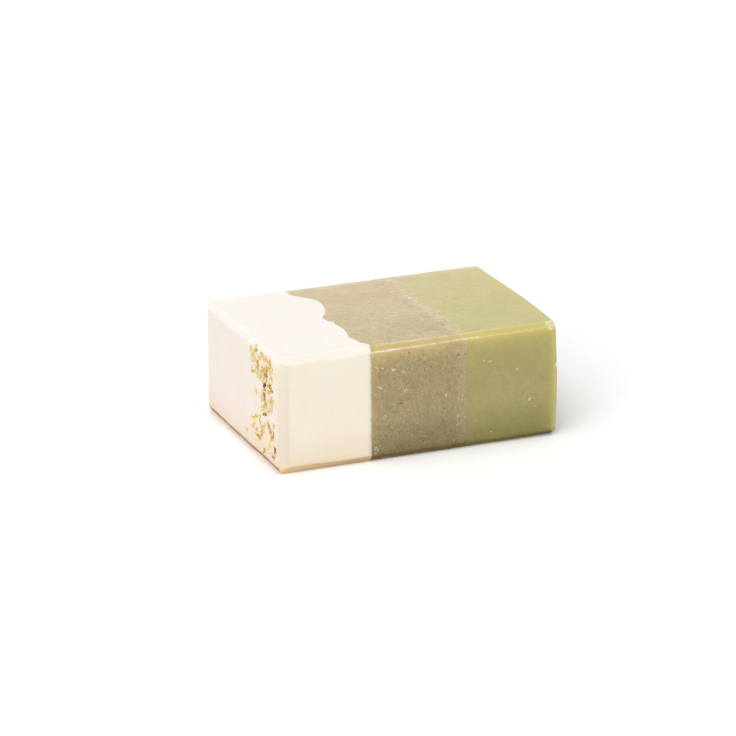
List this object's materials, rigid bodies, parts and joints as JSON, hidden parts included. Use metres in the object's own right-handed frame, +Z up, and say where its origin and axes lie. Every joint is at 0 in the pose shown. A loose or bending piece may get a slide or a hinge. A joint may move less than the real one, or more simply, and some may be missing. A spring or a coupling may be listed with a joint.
{
  "type": "bar of soap",
  "caption": "Handmade rectangular bar of soap in poured colour bands with planed edges and dried petals pressed into one end.",
  "frame": {"origin": "middle of the bar's footprint, on the surface it lies on", "axes": "+X along the bar from the petal end to the green end, +Y from the front side to the back side, +Z up through the two cut faces"},
  "size_m": [0.0805, 0.0556, 0.0323],
  "materials": {
    "cream_soap": "satin",
    "olive_soap": "satin",
    "green_soap": "satin",
    "golden_petal": "matte",
    "brown_petal": "matte",
    "leaf_crumb": "matte"
  },
  "bodies": {
    "root": {"cream_layer": "cream_soap", "olive_layer": "olive_soap", "green_layer": "green_soap", "petal_01": "golden_petal", "petal_02": "golden_petal", "petal_03": "golden_petal", "petal_04": "golden_petal", "petal_05": "golden_petal", "petal_06": "golden_petal", "petal_07": "golden_petal", "petal_08": "golden_petal", "petal_09": "golden_petal", "petal_10": "golden_petal", "petal_11": "golden_petal", "petal_12": "golden_petal", "petal_13": "golden_petal", "petal_14": "golden_petal", "petal_15": "golden_petal", "petal_16": "golden_petal", "petal_17": "golden_petal", "petal_18": "golden_petal", "petal_19": "golden_petal", "petal_20": "golden_petal", "petal_21": "golden_petal", "petal_22": "golden_petal", "petal_23": "golden_petal", "petal_24": "golden_petal", "petal_25": "golden_petal", "petal_26": "golden_petal", "petal_27": "golden_petal", "petal_28": "golden_petal", "petal_29": "golden_petal", "petal_30": "golden_petal", "petal_31": "golden_petal", "petal_32": "golden_petal", "petal_33": "golden_petal", "petal_34": "brown_petal", "petal_35": "brown_petal", "petal_36": "brown_petal", "petal_37": "brown_petal", "petal_38": "brown_petal", "petal_39": "brown_petal", "petal_40": "brown_petal", "petal_41": "brown_petal", "petal_42": "brown_petal", "petal_43": "brown_petal", "petal_44": "brown_petal", "petal_45": "brown_petal", "petal_46": "brown_petal", "petal_47": "brown_petal", "petal_48": "leaf_crumb", "petal_49": "leaf_crumb", "petal_50": "leaf_crumb", "petal_51": "leaf_crumb", "petal_52": "leaf_crumb", "petal_53": "leaf_crumb", "petal_54": "leaf_crumb", "petal_55": "leaf_crumb", "petal_56": "leaf_crumb", "petal_57": "leaf_crumb"}
  },
  "joints": []
}
